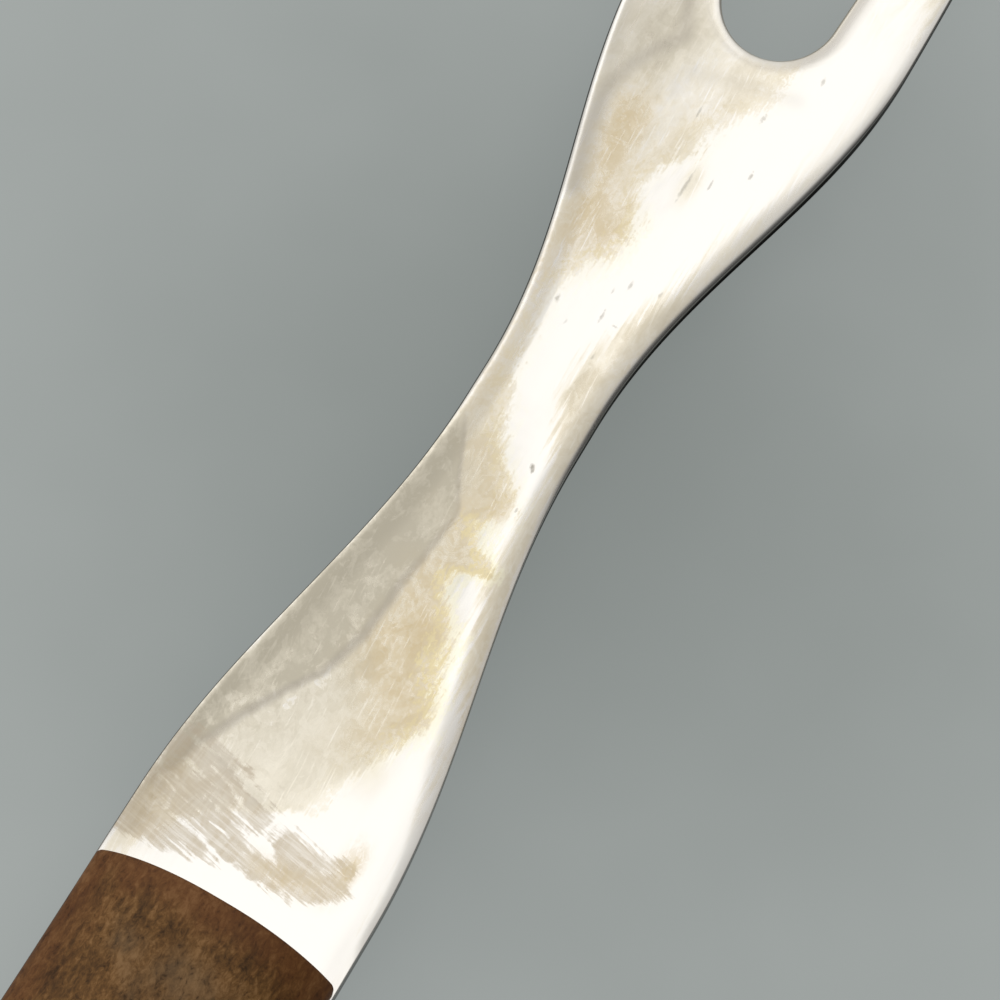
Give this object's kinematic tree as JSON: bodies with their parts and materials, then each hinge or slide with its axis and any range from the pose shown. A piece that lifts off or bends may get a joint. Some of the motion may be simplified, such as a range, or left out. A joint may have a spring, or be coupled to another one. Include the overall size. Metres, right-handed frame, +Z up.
{
  "type": "meat fork",
  "caption": "Serving fork with long upturned tines, a waisted flat neck, a full tang and domed wooden handle scales held by flush rivets.",
  "frame": {"origin": "middle of the fork's length, on its axis, at the level of the surface it rests on", "axes": "+X along the fork towards the tips of its tines, +Y to the fork's left, +Z up from the back scale to the front scale"},
  "size_m": [0.2501, 0.0246, 0.0167],
  "materials": {
    "steel": "polished, worn and finely scratched",
    "wood": "oiled, open pores",
    "brass": "ground flush with the wood"
  },
  "bodies": {
    "root": {"fork_blade": "steel", "front_scale": "wood", "back_scale": "wood", "front_rivet_tube": "brass", "front_rivet_pin": "brass", "middle_rivet_tube": "brass", "middle_rivet_pin": "brass", "rear_rivet_tube": "brass", "rear_rivet_pin": "brass"}
  },
  "joints": []
}
